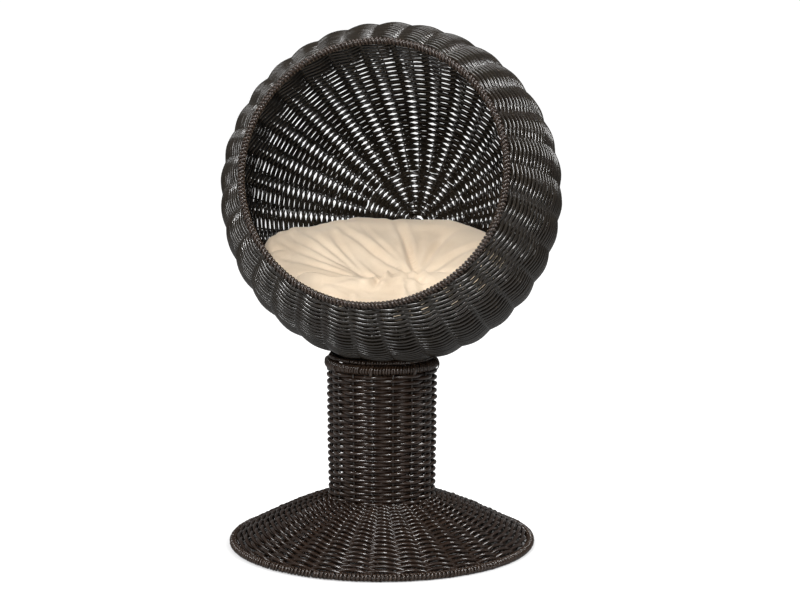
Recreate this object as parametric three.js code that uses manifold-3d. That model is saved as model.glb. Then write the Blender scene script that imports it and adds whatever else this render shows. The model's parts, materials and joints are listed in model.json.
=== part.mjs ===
// Raised wicker pet bed: a round woven pod bolted onto a woven column with a wide conical foot.
// Millimetres, +Z up. The origin is on the floor under the middle of the whole bed's box, and the
// pod's mouth faces -Y. Every woven skin is a thin shell over a cage of steel wire.

import * as THREE from 'three';
import { mergeVertices } from 'three/addons/utils/BufferGeometryUtils.js';
import Module from 'manifold-3d';

// ---- driving dimensions ----

const CLEARANCE = 0.3;            // gap kept between touching pieces

const POD_RADIUS = 250;           // outside of the woven skin
const POD_SKIN = 2.8;             // thickness of the woven skin
const POD_CENTRE = new THREE.Vector3(0, -10.1, 525);
const POD_TILT = 15.7;            // degrees that the mouth looks up
const RIB_TURN = -1.65;           // degrees that the ribs are turned about the mouth's axis
const RIB_COUNT = 32;             // meridian ribs, two to each bent wire
const WIRE_RADIUS = 1.3;          // ribs and stakes
const RIB_RADIUS = 244.5;         // distance of a rib's middle from the pod's centre
const RIB_START = 51.5;           // degrees from the mouth's axis to the ribs' free ends
const RIB_BEND_RADIUS = 24;       // distance of each wire's bend from the mouth's axis

const HOOP_WIRE_RADIUS = 2.5;     // the three rim hoops and the foot hoop
const MOUTH_HOOP_RADIUS = 187.8;
const MOUTH_HOOP_DISTANCE = 160.5; // from the pod's centre to the mouth's plane
const MOUTH_WRAP_RADIUS = 5.8;    // half the thickness of the whipped edge
const HUB_RING_RADIUS = 18.5;
const HUB_WIRE_RADIUS = 1.5;

const STAND_X = -14.8;            // the column stands slightly to one side of the pod
const STAND_Y = POD_CENTRE.y;
const COLUMN_TOP_RADIUS = 81.5;
const COLUMN_FOOT_RADIUS = 79.5;
const COLUMN_TOP_Z = 265;
const COLUMN_FOOT_Z = 73;
const STAND_SKIN = 3.0;
const COLUMN_HOOP_RADIUS = 78;
const COLUMN_HOOP_Z = 274;
const COLUMN_WRAP_RADIUS = 8;
const FOOT_HOOP_RADIUS = 66;      // the hoop inside the column's foot, where the stakes bend
const FOOT_HOOP_Z = 86;
const STAKE_COUNT = 16;

const FOOT_RADIUS = 229;          // outside of the foot's whipped rim
const FOOT_WRAP_RADIUS = 6;
const RIM_HOOP_Z = 5;             // below the wrap's radius, so that the rim rests on a flat
const FOOT_TOP_Z = 76;            // the cone's top, where the column stands in it
const FOOT_LOW_Z = 13.5;          // the cone's top face where it meets the whipped rim
const FOOT_BULGE = 5;             // how far the cone's side swells above a straight line

const CUSHION_TILT = 15.5;        // degrees that the cushion leans towards the mouth
const CUSHION_ROLL = 3.5;         // degrees that its left side is raised
const CUSHION_RADIUS = 203;
const CUSHION_EDGE_DEPTH = 124;   // below the pod's centre, along the cushion's own axis

const STAND_PLATE_RADIUS = 70;
const STAND_PLATE_Z = 262;
const PLATE_THICKNESS = 3;
const CLAMP_PLATE_RADIUS = 44;
const CLAMP_PLATE_Z = 288.6;
const BOLT_SPACING = 46;          // both ways, centre to centre
const BOLT_RADIUS = 3;
const BOLT_HOLE_RADIUS = 3.4;
const BOLT_END_Z = 253;
const BOLT_HEAD_RADIUS = 6.5;
const BOLT_HEAD_HEIGHT = 3.6;
const WASHER_RADIUS = 6.5;
const WASHER_THICKNESS = 1.4;
const NUT_CORNER_RADIUS = 5.8;
const NUT_HEIGHT = 5;

const POD_SEGMENTS = 2 * RIB_COUNT;
const POD_BANDS = 12;
const RING_SEGMENTS = 48;          // the column and the foot, a multiple of the stake count
const SMALL_RING_SEGMENTS = 32;    // the column's hoops and whipping
const HOOP_SEGMENTS = 40;          // the mouth's and the rim's hoops and whippings
const CUSHION_SEGMENTS = 40;
const WIRE_SIDES = 6;
const RIB_STEPS = 20;              // along each bent wire
const STAKE_STEPS = 8;
const HOLE_CORNERS = 10;
const PLATE_CORNERS = 32;
const WASHER_CORNERS = 12;
const NUT_CORNERS = 6;

const radians = THREE.MathUtils.degToRad;

// ---- materials ----

function plain(color, roughness, metalness) {
  return new THREE.MeshStandardMaterial({ color, roughness, metalness });
}

const podStrand = plain(0x2b2926, 0.45, 0);
const standStrand = plain(0x332822, 0.45, 0);
const paintedWire = plain(0x1d1a18, 0.5, 0.6);
const zincSteel = plain(0xb4b6b8, 0.35, 1);
const cushionFabric = plain(0xe3d3b8, 0.95, 0);

// ---- small makers ----

const bed = new THREE.Group();

function addMesh(parent, name, geometry, material) {
  const mesh = new THREE.Mesh(geometry, material);
  mesh.name = name;
  parent.add(mesh);
  return mesh;
}

// A solid of revolution about Z. The outline is a list of [radius, height] pairs that runs
// round the section with the material on its left.
function turned(outline, segments) {
  const points = outline.map(([radius, height]) => new THREE.Vector2(radius, height));
  return new THREE.LatheGeometry(points, segments).rotateX(Math.PI / 2);
}

// The points of an arc in an outline, about [radius, height].
function arc(centreRadius, centreHeight, size, fromDegrees, toDegrees, steps) {
  const points = [];
  for (let i = 0; i <= steps; i += 1) {
    const angle = radians(fromDegrees + ((toDegrees - fromDegrees) * i) / steps);
    points.push([centreRadius + size * Math.cos(angle), centreHeight + size * Math.sin(angle)]);
  }
  return points;
}

function closed(outline) {
  return [...outline, outline[0]];
}

function hoop(radius, wireRadius, segments) {
  return new THREE.TorusGeometry(radius, wireRadius, WIRE_SIDES, segments);
}

// The whipped edge round a hoop: a hollow ring with a slit that faces the woven skin. The slit's
// middle is at slitDegrees in the section, and flat cuts the ring off level at that height.
function whippedEdge(radius, height, size, slitDegrees, segments, flat = -Infinity) {
  const halfSlit = 28;
  const from = slitDegrees + halfSlit;
  const to = slitDegrees + 360 - halfSlit;
  const outsideSteps = 8;
  const boreSteps = 4;
  const halfFacet = radians((to - from) / boreSteps / 2);
  const bore = (HOOP_WIRE_RADIUS + CLEARANCE) / Math.cos(halfFacet);
  const outside = arc(radius, height, size, from, to, outsideSteps);
  const inside = arc(radius, height, bore, to, from, boreSteps);
  const outline = [...outside, ...inside].map(([r, z]) => [r, Math.max(z, flat)]);
  return turned(closed(outline), segments);
}

// A curve that is stepped evenly in its own parameter, so a short bend gets its share of steps.
class WirePath extends THREE.Curve {
  constructor(place) {
    super();
    this.place = place;
  }

  getPoint(t, target = new THREE.Vector3()) {
    return target.copy(this.place(t));
  }

  getUtoTmapping(u) {
    return u;
  }
}

// A round outline with a chosen number of corners.
function circle(x, y, radius, cornerCount) {
  const corners = [];
  for (let i = 0; i < cornerCount; i += 1) {
    const angle = (2 * Math.PI * i) / cornerCount;
    corners.push(new THREE.Vector2(x + radius * Math.cos(angle), y + radius * Math.sin(angle)));
  }
  return corners;
}

// A round wire swept along a path.
function wire(path, wireRadius, steps) {
  const section = new THREE.Shape(circle(0, 0, wireRadius, WIRE_SIDES));
  return new THREE.ExtrudeGeometry(section, { steps, extrudePath: path, bevelEnabled: false });
}

// A flat plate with bolt holes at the given places, its lower face at height 0.
function plate(radius, thickness, cornerCount, holePlaces) {
  const outline = new THREE.Shape(circle(0, 0, radius, cornerCount));
  for (const [x, y] of holePlaces) {
    outline.holes.push(new THREE.Path(circle(x, y, BOLT_HOLE_RADIUS, HOLE_CORNERS)));
  }
  return new THREE.ExtrudeGeometry(outline, { depth: thickness, bevelEnabled: false });
}

// ---- cutting ----

const wasm = await Module();
wasm.setup();

function toManifold(geometry) {
  const bare = geometry.clone();
  bare.deleteAttribute('normal');
  bare.deleteAttribute('uv');
  const merged = mergeVertices(bare, 1e-3);
  const corners = Array.from(merged.index.array);
  const triVerts = [];
  for (let i = 0; i < corners.length; i += 3) {
    const [a, b, c] = corners.slice(i, i + 3);
    if (a !== b && b !== c && c !== a) triVerts.push(a, b, c);
  }
  return new wasm.Manifold(new wasm.Mesh({
    numProp: 3,
    vertProperties: new Float32Array(merged.attributes.position.array),
    triVerts: new Uint32Array(triVerts),
  }));
}

function fromManifold(solid) {
  const mesh = solid.getMesh();
  const geometry = new THREE.BufferGeometry();
  geometry.setAttribute('position', new THREE.BufferAttribute(mesh.vertProperties, 3));
  geometry.setIndex(new THREE.BufferAttribute(mesh.triVerts, 1));
  geometry.computeVertexNormals();
  return geometry;
}

// ---- the pod ----

// Bolts stand on the corners of a square under the pod's centre.
const boltPlaces = [[-1, -1], [1, -1], [1, 1], [-1, 1]].map(
  ([x, y]) => [(x * BOLT_SPACING) / 2, (y * BOLT_SPACING) / 2],
);

// In the pod's own frame the mouth's axis is +Z, and the ribs are evenly spaced from +Y.
const pod = new THREE.Group();
pod.position.copy(POD_CENTRE);
pod.rotation.set(radians(90 - POD_TILT), 0, radians(RIB_TURN), 'XYZ');
bed.add(pod);
pod.updateWorldMatrix(true, false);

// The woven skin: a ball cut off at the mouth. Its inside corners are pushed out a little, so
// that the flat facets between them stay clear of the ribs.
function podSkin() {
  const edge = 90 - RIB_START;
  const pole = -90;
  const outside = arc(0, 0, POD_RADIUS, pole, edge, POD_BANDS);
  const inside = arc(0, 0, POD_RADIUS - POD_SKIN, edge, pole, POD_BANDS);
  outside[0][0] = 0;
  inside[POD_BANDS][0] = 0;
  const shell = toManifold(turned([...outside, ...inside], POD_SEGMENTS));
  const drillLength = 60;
  const drill = new THREE.CylinderGeometry(
    BOLT_HOLE_RADIUS,
    BOLT_HOLE_RADIUS,
    drillLength,
    HOLE_CORNERS,
  );
  drill.rotateX(Math.PI / 2);
  const intoPod = pod.matrixWorld.clone().invert();
  let drilled = shell;
  for (const [x, y] of boltPlaces) {
    const place = new THREE.Matrix4().makeTranslation(
      POD_CENTRE.x + x,
      POD_CENTRE.y + y,
      POD_CENTRE.z - POD_RADIUS,
    );
    const cutter = drill.clone().applyMatrix4(place).applyMatrix4(intoPod);
    drilled = drilled.subtract(toManifold(cutter));
  }
  return fromManifold(drilled);
}

// One bent wire: up one meridian from the mouth, round a tight bend near the pole, and back
// down the next meridian.
function ribWire(middleDegrees) {
  const middle = radians(middleDegrees);
  const half = Math.PI / RIB_COUNT;
  const bendSize = RIB_BEND_RADIUS * Math.tan(half);
  const legEnd = Math.PI - Math.asin(RIB_BEND_RADIUS / Math.cos(half) / RIB_RADIUS);
  const legStart = radians(RIB_START);
  const legShare = 0.4;

  const onMeridian = (polar, side) => {
    const turn = middle + side * half;
    const out = RIB_RADIUS * Math.sin(polar);
    return new THREE.Vector3(-out * Math.sin(turn), out * Math.cos(turn), RIB_RADIUS * Math.cos(polar));
  };
  const place = (t) => {
    if (t < legShare) {
      return onMeridian(legStart + ((legEnd - legStart) * t) / legShare, 1);
    }
    if (t > 1 - legShare) {
      return onMeridian(legStart + ((legEnd - legStart) * (1 - t)) / legShare, -1);
    }
    const angle = (Math.PI * (t - legShare)) / (1 - 2 * legShare);
    const inward = RIB_BEND_RADIUS - bendSize * Math.sin(angle);
    const across = bendSize * Math.cos(angle);
    return new THREE.Vector3(
      -inward * Math.sin(middle) - across * Math.cos(middle),
      inward * Math.cos(middle) - across * Math.sin(middle),
      -Math.sqrt(RIB_RADIUS ** 2 - inward ** 2 - across ** 2),
    );
  };
  return wire(new WirePath(place), WIRE_RADIUS, RIB_STEPS);
}

addMesh(pod, 'pod_woven_shell', podSkin(), podStrand);

const wireCount = RIB_COUNT / 2;
for (let i = 0; i < wireCount; i += 1) {
  const middleDegrees = (360 / wireCount) * (i + 0.25);
  const name = `pod_rib_wire_${String(i + 1).padStart(2, '0')}`;
  addMesh(pod, name, ribWire(middleDegrees), paintedWire);
}

const mouthHoop = hoop(MOUTH_HOOP_RADIUS, HOOP_WIRE_RADIUS, HOOP_SEGMENTS);
addMesh(pod, 'pod_mouth_hoop', mouthHoop, paintedWire).position.z = MOUTH_HOOP_DISTANCE;

const towardsSkin = -49;
const mouthWrap = whippedEdge(
  MOUTH_HOOP_RADIUS,
  MOUTH_HOOP_DISTANCE,
  MOUTH_WRAP_RADIUS,
  towardsSkin,
  HOOP_SEGMENTS,
);
addMesh(pod, 'pod_mouth_whipping', mouthWrap, standStrand);

const hubSegments = 16;
const hubRing = hoop(HUB_RING_RADIUS, HUB_WIRE_RADIUS, hubSegments);
const hubDepth = Math.sqrt(RIB_RADIUS ** 2 - HUB_RING_RADIUS ** 2);
addMesh(pod, 'pod_back_ring', hubRing, paintedWire).position.z = -hubDepth;

// ---- the cushion ----

// Its underside is crowned to lie in the pod, and its top is slightly domed. Heights are
// measured from the pod's centre along the cushion's own axis.
function cushionShape() {
  return turned([
    [0, -207],
    [70, -203],
    [115, -192],
    [155, -175],
    [184, -151],
    [CUSHION_RADIUS, -CUSHION_EDGE_DEPTH],
    [195, -109],
    [155, -101],
    [90, -95],
    [0, -92],
  ], CUSHION_SEGMENTS);
}

const cushion = addMesh(bed, 'cushion', cushionShape(), cushionFabric);
cushion.position.copy(POD_CENTRE);
cushion.rotation.set(radians(CUSHION_TILT), radians(CUSHION_ROLL), 0, 'XYZ');

// ---- the stand ----

const stand = new THREE.Group();
stand.position.set(STAND_X, STAND_Y, 0);
bed.add(stand);

const tuckIntoWrap = 2;
const footEdgeRadius = FOOT_RADIUS - 2 * FOOT_WRAP_RADIUS + tuckIntoWrap;

// Height of the cone's top face at a distance from the stand's axis.
function coneHeight(radius) {
  const share = (radius - COLUMN_FOOT_RADIUS) / (footEdgeRadius - COLUMN_FOOT_RADIUS);
  const straight = FOOT_TOP_Z + (FOOT_LOW_Z - FOOT_TOP_Z) * share;
  return straight + FOOT_BULGE * 4 * share * (1 - share);
}

const columnSkin = turned(closed([
  [COLUMN_FOOT_RADIUS, COLUMN_FOOT_Z],
  [COLUMN_TOP_RADIUS, COLUMN_TOP_Z],
  [COLUMN_TOP_RADIUS - STAND_SKIN, COLUMN_TOP_Z],
  [COLUMN_FOOT_RADIUS - STAND_SKIN, COLUMN_FOOT_Z],
]), RING_SEGMENTS);
addMesh(stand, 'column_woven_sleeve', columnSkin, standStrand);

function footSkin() {
  const bands = 4;
  const gapAtColumn = 0.8;
  const innerRadius = COLUMN_FOOT_RADIUS + gapAtColumn;
  const top = [];
  for (let i = 0; i <= bands; i += 1) {
    const radius = innerRadius + ((footEdgeRadius - innerRadius) * i) / bands;
    top.push([radius, coneHeight(radius)]);
  }
  const under = top.map(([radius, height]) => [radius, height - STAND_SKIN]);
  return turned(closed([...under, ...top.reverse()]), RING_SEGMENTS);
}
addMesh(stand, 'foot_woven_cone', footSkin(), standStrand);

// One stake: down the inside of the column, round a bend, and out under the cone to its rim.
function stakeWire(degrees) {
  const turn = radians(degrees);
  const cosTurn = Math.cos(turn);
  const sinTurn = Math.sin(turn);
  const inset = STAND_SKIN + 2 * CLEARANCE + WIRE_RADIUS;
  const facetRoom = 1;
  const underCone = inset + facetRoom;
  const columnShare = 0.125;
  const bendShare = 0.375;
  const bendReach = 18;
  const bendDrop = 6;
  const columnRadius = COLUMN_FOOT_RADIUS - inset - facetRoom;
  const bendEndRadius = columnRadius + bendReach;
  const bendEnd = [bendEndRadius, coneHeight(bendEndRadius) - underCone];
  const bendStart = [columnRadius, bendEnd[1] + bendDrop];
  const rimRadius = footEdgeRadius - 1;

  const place = (t) => {
    let radius;
    let height;
    if (t < columnShare) {
      const share = t / columnShare;
      radius = columnRadius;
      height = COLUMN_TOP_Z + (bendStart[1] - COLUMN_TOP_Z) * share;
    } else if (t < columnShare + bendShare) {
      const share = (t - columnShare) / bendShare;
      radius = (1 - share) ** 2 * bendStart[0] + 2 * share * (1 - share) * columnRadius
        + share ** 2 * bendEnd[0];
      height = (1 - share) ** 2 * bendStart[1] + (1 - (1 - share) ** 2) * bendEnd[1];
    } else {
      const share = (t - columnShare - bendShare) / (1 - columnShare - bendShare);
      radius = bendEndRadius + (rimRadius - bendEndRadius) * share;
      height = coneHeight(radius) - underCone;
    }
    return new THREE.Vector3(radius * cosTurn, radius * sinTurn, height);
  };
  return wire(new WirePath(place), WIRE_RADIUS, STAKE_STEPS);
}

for (let i = 0; i < STAKE_COUNT; i += 1) {
  const name = `stand_stake_wire_${String(i + 1).padStart(2, '0')}`;
  addMesh(stand, name, stakeWire((360 / STAKE_COUNT) * i), paintedWire);
}

const columnHoop = hoop(COLUMN_HOOP_RADIUS, HOOP_WIRE_RADIUS, SMALL_RING_SEGMENTS);
addMesh(stand, 'column_top_hoop', columnHoop, paintedWire).position.z = COLUMN_HOOP_Z;

const downwards = -90;
const columnWrap = whippedEdge(
  COLUMN_HOOP_RADIUS,
  COLUMN_HOOP_Z,
  COLUMN_WRAP_RADIUS,
  downwards,
  SMALL_RING_SEGMENTS,
);
addMesh(stand, 'column_top_whipping', columnWrap, standStrand);

const rimHoopRadius = FOOT_RADIUS - FOOT_WRAP_RADIUS;
const rimHoop = hoop(rimHoopRadius, HOOP_WIRE_RADIUS, HOOP_SEGMENTS);
addMesh(stand, 'foot_rim_hoop', rimHoop, paintedWire).position.z = RIM_HOOP_Z;

const inAndUp = 150;
const footWrap = whippedEdge(
  rimHoopRadius,
  RIM_HOOP_Z,
  FOOT_WRAP_RADIUS,
  inAndUp,
  HOOP_SEGMENTS,
  0,
);
addMesh(stand, 'foot_rim_whipping', footWrap, standStrand);

const innerHoop = hoop(FOOT_HOOP_RADIUS, HOOP_WIRE_RADIUS, SMALL_RING_SEGMENTS);
addMesh(stand, 'column_foot_hoop', innerHoop, paintedWire).position.z = FOOT_HOOP_Z;

// ---- the joint between pod and stand ----

const onStand = boltPlaces.map(([x, y]) => [x + POD_CENTRE.x - STAND_X, y]);
const standPlate = plate(STAND_PLATE_RADIUS, PLATE_THICKNESS, PLATE_CORNERS, onStand);
addMesh(stand, 'stand_top_plate', standPlate, paintedWire).position.z = STAND_PLATE_Z;

const clampPlate = plate(CLAMP_PLATE_RADIUS, PLATE_THICKNESS, PLATE_CORNERS, boltPlaces);
const clampPlace = new THREE.Vector3(POD_CENTRE.x, POD_CENTRE.y, CLAMP_PLATE_Z);
addMesh(bed, 'pod_clamp_plate', clampPlate, zincSteel).position.copy(clampPlace);

const headUnderZ = CLAMP_PLATE_Z + PLATE_THICKNESS + CLEARANCE;
const washerZ = STAND_PLATE_Z - CLEARANCE - WASHER_THICKNESS;
const nutZ = washerZ - CLEARANCE - NUT_HEIGHT;

// A carriage bolt with its domed head up and a chamfered end.
function boltShape() {
  const chamfer = 0.5;
  const shoulder = [BOLT_HEAD_RADIUS * 0.8, headUnderZ + BOLT_HEAD_HEIGHT * 0.7];
  return turned([
    [0, BOLT_END_Z],
    [BOLT_RADIUS - chamfer, BOLT_END_Z],
    [BOLT_RADIUS, BOLT_END_Z + chamfer],
    [BOLT_RADIUS, headUnderZ],
    [BOLT_HEAD_RADIUS, headUnderZ],
    shoulder,
    [0, headUnderZ + BOLT_HEAD_HEIGHT],
  ], HOLE_CORNERS);
}

boltPlaces.forEach(([x, y], i) => {
  const place = new THREE.Vector3(POD_CENTRE.x + x, POD_CENTRE.y + y, 0);
  addMesh(bed, `pod_bolt_${i + 1}`, boltShape(), zincSteel).position.copy(place);
  const washer = plate(WASHER_RADIUS, WASHER_THICKNESS, WASHER_CORNERS, [[0, 0]]);
  const nut = plate(NUT_CORNER_RADIUS, NUT_HEIGHT, NUT_CORNERS, [[0, 0]]);
  addMesh(bed, `pod_washer_${i + 1}`, washer, zincSteel).position.copy(place).setZ(washerZ);
  addMesh(bed, `pod_nut_${i + 1}`, nut, zincSteel).position.copy(place).setZ(nutZ);
});

export default bed;
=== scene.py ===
# Raised wicker pet bed: the woven, wound and padded surfaces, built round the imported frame.
# Metres, +Z up. The pod's mouth faces -Y.

import json
import math

import bpy
import numpy as np
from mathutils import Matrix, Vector


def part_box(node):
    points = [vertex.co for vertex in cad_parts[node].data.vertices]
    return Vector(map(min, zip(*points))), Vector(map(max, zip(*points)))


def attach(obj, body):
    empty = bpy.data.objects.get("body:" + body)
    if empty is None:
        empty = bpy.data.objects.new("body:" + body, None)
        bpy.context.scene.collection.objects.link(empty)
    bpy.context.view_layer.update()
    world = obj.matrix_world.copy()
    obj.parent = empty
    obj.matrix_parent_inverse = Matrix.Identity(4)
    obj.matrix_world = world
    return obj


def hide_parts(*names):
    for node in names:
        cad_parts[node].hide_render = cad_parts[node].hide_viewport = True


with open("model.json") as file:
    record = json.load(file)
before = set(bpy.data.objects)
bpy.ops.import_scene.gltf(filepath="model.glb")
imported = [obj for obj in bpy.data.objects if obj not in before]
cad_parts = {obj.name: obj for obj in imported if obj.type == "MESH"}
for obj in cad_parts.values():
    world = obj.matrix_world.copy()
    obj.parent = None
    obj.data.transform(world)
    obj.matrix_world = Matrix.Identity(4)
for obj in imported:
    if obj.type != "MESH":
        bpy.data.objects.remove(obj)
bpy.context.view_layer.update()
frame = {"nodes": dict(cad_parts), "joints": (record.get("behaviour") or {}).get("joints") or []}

MM = 0.001
TURN = 2 * math.pi

# ---- strands and wires ----

STRAND_RADIUS = 2.45 * MM
WIRE_RADIUS = 1.3 * MM
HOOP_RADIUS = 2.5 * MM
BACK_RING_RADIUS = 1.5 * MM
SWING = WIRE_RADIUS + STRAND_RADIUS      # how far a strand swings out and in to pass a wire
STEPS_PER_BAY = 8                        # path points from one stake to the next
STRAND_SIDES = 8
WIRE_SIDES = 6
TWINE_SPREAD = 0.24                      # from a row's middle to each strand, over its pitch

# How uneven the hand weaving is. Lengths are standard deviations, and so are the shares.
TWINE_SAG = 0.28 * MM                    # of a row, along the woven surface
TWINE_STRAY = 0.16 * MM                  # of each of its strands
TWINE_PRESS = 0.06                       # share of the swing
PLAIN_SAG = 0.12 * MM
PLAIN_PRESS = 0.08
UNEVEN_STRAND = 0.03                     # share of a strand's radius
WRAP_LIFT = 0.22 * MM
WRAP_STRAY = 0.45 * MM

# ---- the pod ----

POD_RIBS = 32
RIB_START = math.radians(51.5)           # from the mouth's axis
POD_FIRST_ROW = math.radians(51.9)
POD_LAST_ROW = math.radians(176.3)
POD_RIM_PITCH = 8.5 * MM
POD_PITCH = 9.9 * MM
POD_PITCH_SETTLES = math.radians(70)     # rows keep the full pitch beyond here
POD_THICK_UNTIL = math.radians(84)       # the strands are thicker before here,
POD_RIM_THICKER = 0.15                   # by this share at the mouth
POD_CLOSES_FROM = math.radians(128)      # rows crowd together from here to the back pole
POD_POLE_PITCH = 7.4 * MM
PAIRED_RIBS_INSIDE = 80 * MM             # nearer to the back pole, ribs are woven in pairs,
GROUPED_RIBS_INSIDE = 36 * MM            # then in fours
POLE_COIL_PITCH = 2.1 * STRAND_RADIUS
POLE_COIL_RISE = 1 * MM
POLE_COIL_STEPS = 28                     # in a turn
RIB_BEND_RADIUS = 24 * MM
RIB_LEG_STEPS = 72
RIB_BEND_STEPS = 8

# ---- the stand ----

STAKES = 16
COLUMN_PITCH = 4.96 * MM                 # one strand over and under, not two
COLUMN_STRAND_RADIUS = 2.4 * MM
COLUMN_FLATNESS = 1.22                   # beaten down tight, the strands are taller than thick
COLUMN_SWING = 3.8 * MM
COLUMN_SLOPE = 0.45 * MM                 # a strand rises this much in front of a stake
COLUMN_PAST_SKIN = 2 * MM                # how far the weave stands out past the CAD sleeve
FOOT_PITCH = 8.9 * MM
FOOT_SLANT = 1.07                        # the cone's slant length over its width
FOOT_BULGE = 5 * MM
FOOT_STRAND_RADIUS = 2.7 * MM
FOOT_SWING = 4.6 * MM
FOOT_DEPTH = FOOT_SWING + FOOT_STRAND_RADIUS      # from the cone's face to the weave's middle

# ---- the whippings ----

# Each is a strand wound round a hoop: the free radius under it, its half width and half
# thickness, the pitch of its turns along the hoop, and how far they lean.
MOUTH_WRAP = (HOOP_RADIUS, 2.0 * MM, 1.45 * MM, 5.5 * MM, 3.4 * MM)
RIM_WRAP = (HOOP_RADIUS, 2.15 * MM, 1.8 * MM, 5.8 * MM, 3.0 * MM)
TOP_WRAP = (HOOP_RADIUS, 1.9 * MM, 1.4 * MM, 4.2 * MM, 3.0 * MM)
TOP_OVERWRAP = (5.1 * MM, 1.6 * MM, 1.2 * MM, 4.0 * MM, -2.5 * MM)
# A small ring of the same kind that closes the gap between the column's top and the pod.
TOP_BEAD = (1.4 * MM, 1.6 * MM, 1.0 * MM, 3.8 * MM, 2.4 * MM)
TOP_BEAD_INWARD = 2 * MM
TOP_BEAD_RISE = 10.8 * MM
OVERWRAP_START = 0.3                     # radians round from the start of the wrap under it
WRAP_STEPS = 12                          # path points in a turn
RIM_WRAP_RISE = 1 * MM
FLOOR_CLEARANCE = 0.2 * MM
LOOP_REACH = 8.2 * MM                    # from the hoop's middle to a tie loop's
LOOP_DROP = (6 * MM, 12 * MM)            # how far below the hoop a loop is tucked in
LOOP_TUCK = 3 * MM                       # and how deep
LOOP_WIDTH = 2.0 * MM
LOOP_THICKNESS = 0.9 * MM

# ---- the cushion ----

CUSHION_VOXEL = 5 * MM
CUSHION_FRAMES = 20
CUSHION_CAP = 30 * MM                    # how far the filling may push the cover
CUSHION_REACH = 235 * MM                 # from the pod's centre, just inside the weave
UNFILLED_HEIGHT = 0.93                   # share of its height before it is filled
# Places on the cover are (right, back) of the cushion's axis.
TUFTS = ((3 * MM, -93 * MM), (52 * MM, -76 * MM))
TUFT_DEPTH = 10 * MM
TUFT_SPREAD = 24 * MM
TUFT_RADIUS = 6 * MM                     # the filling can't move the cover nearer to a tuft
# The fold that runs across the front through both tufts. The cover rolls up ahead of it.
FRONT_FOLD = (
    (-118 * MM, -112 * MM), (-67 * MM, -122 * MM), (-30 * MM, -108 * MM), TUFTS[0],
    (28 * MM, -80 * MM), TUFTS[1], (92 * MM, -68 * MM), (118 * MM, -60 * MM),
)
FRONT_FOLD_WAVE = 2.5 * MM
FRONT_FOLD_WAVE_RADIAN = 9 * MM          # the length of one radian of the wave
FRONT_FOLD_ENDS = 45 * MM                # it fades in and out over this length
FRONT_ROLL = 14 * MM
FRONT_ROLL_LENGTH = 75 * MM
FRONT_VALLEY = 0.7                       # how deep the fold itself is, as a share of the roll
# The folds in the cover: the tuft each starts at, its bearing there and at its far end (degrees
# from the right), its length, its depth and its half width.
FOLDS = (
    (0, 158, 133, 235 * MM, 4.9 * MM, 6 * MM),
    (0, 168, 142, 225 * MM, 4.5 * MM, 6 * MM),
    (0, 178, 152, 210 * MM, 3.3 * MM, 4.5 * MM),
    (0, 150, 122, 210 * MM, 2.9 * MM, 4.5 * MM),
    (0, 188, 164, 200 * MM, 2.9 * MM, 4.5 * MM),
    (1, 149, 134, 240 * MM, 4.5 * MM, 6 * MM),
    (1, 138, 124, 215 * MM, 2.5 * MM, 4.5 * MM),
    (1, 108, 108.6, 250 * MM, 6.6 * MM, 6 * MM),
    (1, 98, 96, 150 * MM, 3.7 * MM, 5 * MM),
    (1, 88, 74, 190 * MM, 4.1 * MM, 6 * MM),
    (1, 60, 47, 170 * MM, 3.7 * MM, 7 * MM),
    (1, 30, 8, 150 * MM, 3.3 * MM, 7 * MM),
    (0, 205, 215, 120 * MM, 3.3 * MM, 7 * MM),
    (0, 262, 250, 45 * MM, 7.4 * MM, 5 * MM),
    (1, 290, 300, 90 * MM, 3.3 * MM, 7 * MM),
)
FOLD_STEPS = 40
FOLD_SHOULDER = 0.45                     # how high a fold's shoulders are, as a share of its depth
FOLD_SHOULDER_AT = 1.9                   # and how far out, in half widths
SEAM_FROM = 0.85                         # share of the cushion's radius where its edge begins
SEAM_DEPTH = 2.5 * MM
SEAM_HALF_WIDTH = 4 * MM
SIDE_ROUNDING = 20 * MM
FULL_LEFT = 20 * MM                      # how much fuller the left and right edges are
FULL_LEFT_FROM = 135 * MM
FULL_RIGHT = 5 * MM
FULL_RIGHT_FROM = 90 * MM
FULL_SPAN = 60 * MM
BACK_DEPTH = 14 * MM                     # and how much flatter the back half
BACK_MIDDLE = -20 * MM
BACK_HALF_WIDTH = 110 * MM
BACK_FROM = -20 * MM
BACK_SPAN = 90 * MM

# ---- the room ----

ROOM_LIGHT = 0.2                         # the dim room round the white backdrop
BACKDROP = 1.05                          # how bright the camera sees it
FLOOR_HALF = 30.0
FLOOR_GLOW = 0.95
FLOOR_SHADE_FADE = 30 * MM                     # the glow fades in over this much on each side of the rim: a painted shade round the foot
LAMP_AIM = 0.4                           # the height that the soft boxes are aimed at
LAMP_DISTANCE = 3.0

rng = np.random.default_rng(11)


# ---- where the frame puts things ----

def points_of(*nodes):
    """Every vertex of the named CAD nodes, one row each."""
    found = []
    for name in nodes:
        mesh = frame["nodes"][name].data
        flat = np.empty(3 * len(mesh.vertices), np.float32)
        mesh.vertices.foreach_get("co", flat)
        found.append(flat.reshape(-1, 3).astype(float))
    return np.concatenate(found)


def unit(v):
    v = np.asarray(v, float)
    return v / np.linalg.norm(v, axis=-1, keepdims=True)


def centre_of(node):
    low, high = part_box(node)
    return (np.array(low) + np.array(high)) / 2


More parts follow.
